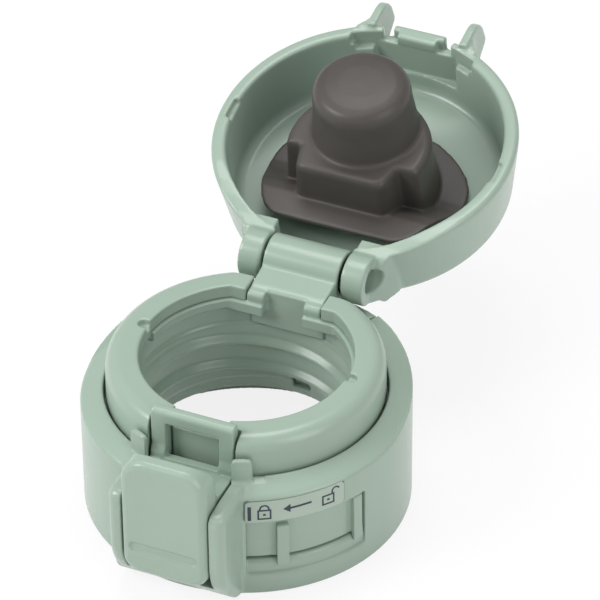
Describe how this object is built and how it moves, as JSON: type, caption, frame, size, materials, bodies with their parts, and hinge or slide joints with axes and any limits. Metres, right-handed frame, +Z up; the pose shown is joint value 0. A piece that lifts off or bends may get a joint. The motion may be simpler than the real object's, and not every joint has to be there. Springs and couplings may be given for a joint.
{
  "type": "flip-open flask lid",
  "caption": "Flip-open screw-on lid for a vacuum flask: base ring with neck thread, sprung domed lid carrying a plug seal, push button and sliding side lock.",
  "frame": {"origin": "on the neck's axis, in the plane of the base shell's lower edge, on which the part stands", "axes": "+Z up out of the flask along the neck's axis, -Y towards the opening button, +Y towards the hinge, +X to the right seen from the button"},
  "size_m": [0.065, 0.1353, 0.0602],
  "materials": {
    "shell_plastic": "satin gloss, pale sage green",
    "label": "printed matt plate",
    "silicone": "matt silicone, warm dark grey",
    "steel": "bright drawn wire and pin"
  },
  "bodies": {
    "base": {"outer_shell": "shell_plastic", "inner_body": "shell_plastic", "cover_right": "shell_plastic", "cover_left": "shell_plastic", "label_plate": "label", "button_pin": "steel", "button_spring": "steel", "hinge_spring": "steel"},
    "button": {"open_button": "shell_plastic"},
    "lock": {"lock_slider": "shell_plastic"},
    "lid": {"lid_shell": "shell_plastic", "seal_holder": "shell_plastic", "plug_seal": "silicone", "hinge_pin": "steel"}
  },
  "joints": [
    {"name": "lid_hinge", "type": "hinge", "parent": "base", "child": "lid", "pos_m": [0, 0.031, 0.033], "axis": [1, 0, 0], "range_deg": [0, 167.5], "stiffness_Nm_per_rad": 0.003, "springref_deg": -34.38, "deforming": ["hinge_spring"]},
    {"name": "button_rock", "type": "hinge", "parent": "base", "child": "button", "pos_m": [0, -0.0314, 0.016], "axis": [1, 0, 0], "range_deg": [0, 5], "stiffness_Nm_per_rad": 0.03, "springref_deg": -5.73, "deforming": ["button_spring"]},
    {"name": "lock_slide", "type": "hinge", "parent": "base", "child": "lock", "pos_m": [0, 0, 0.0138], "axis": [0, 0, -1], "range_deg": [0, 10]}
  ]
}
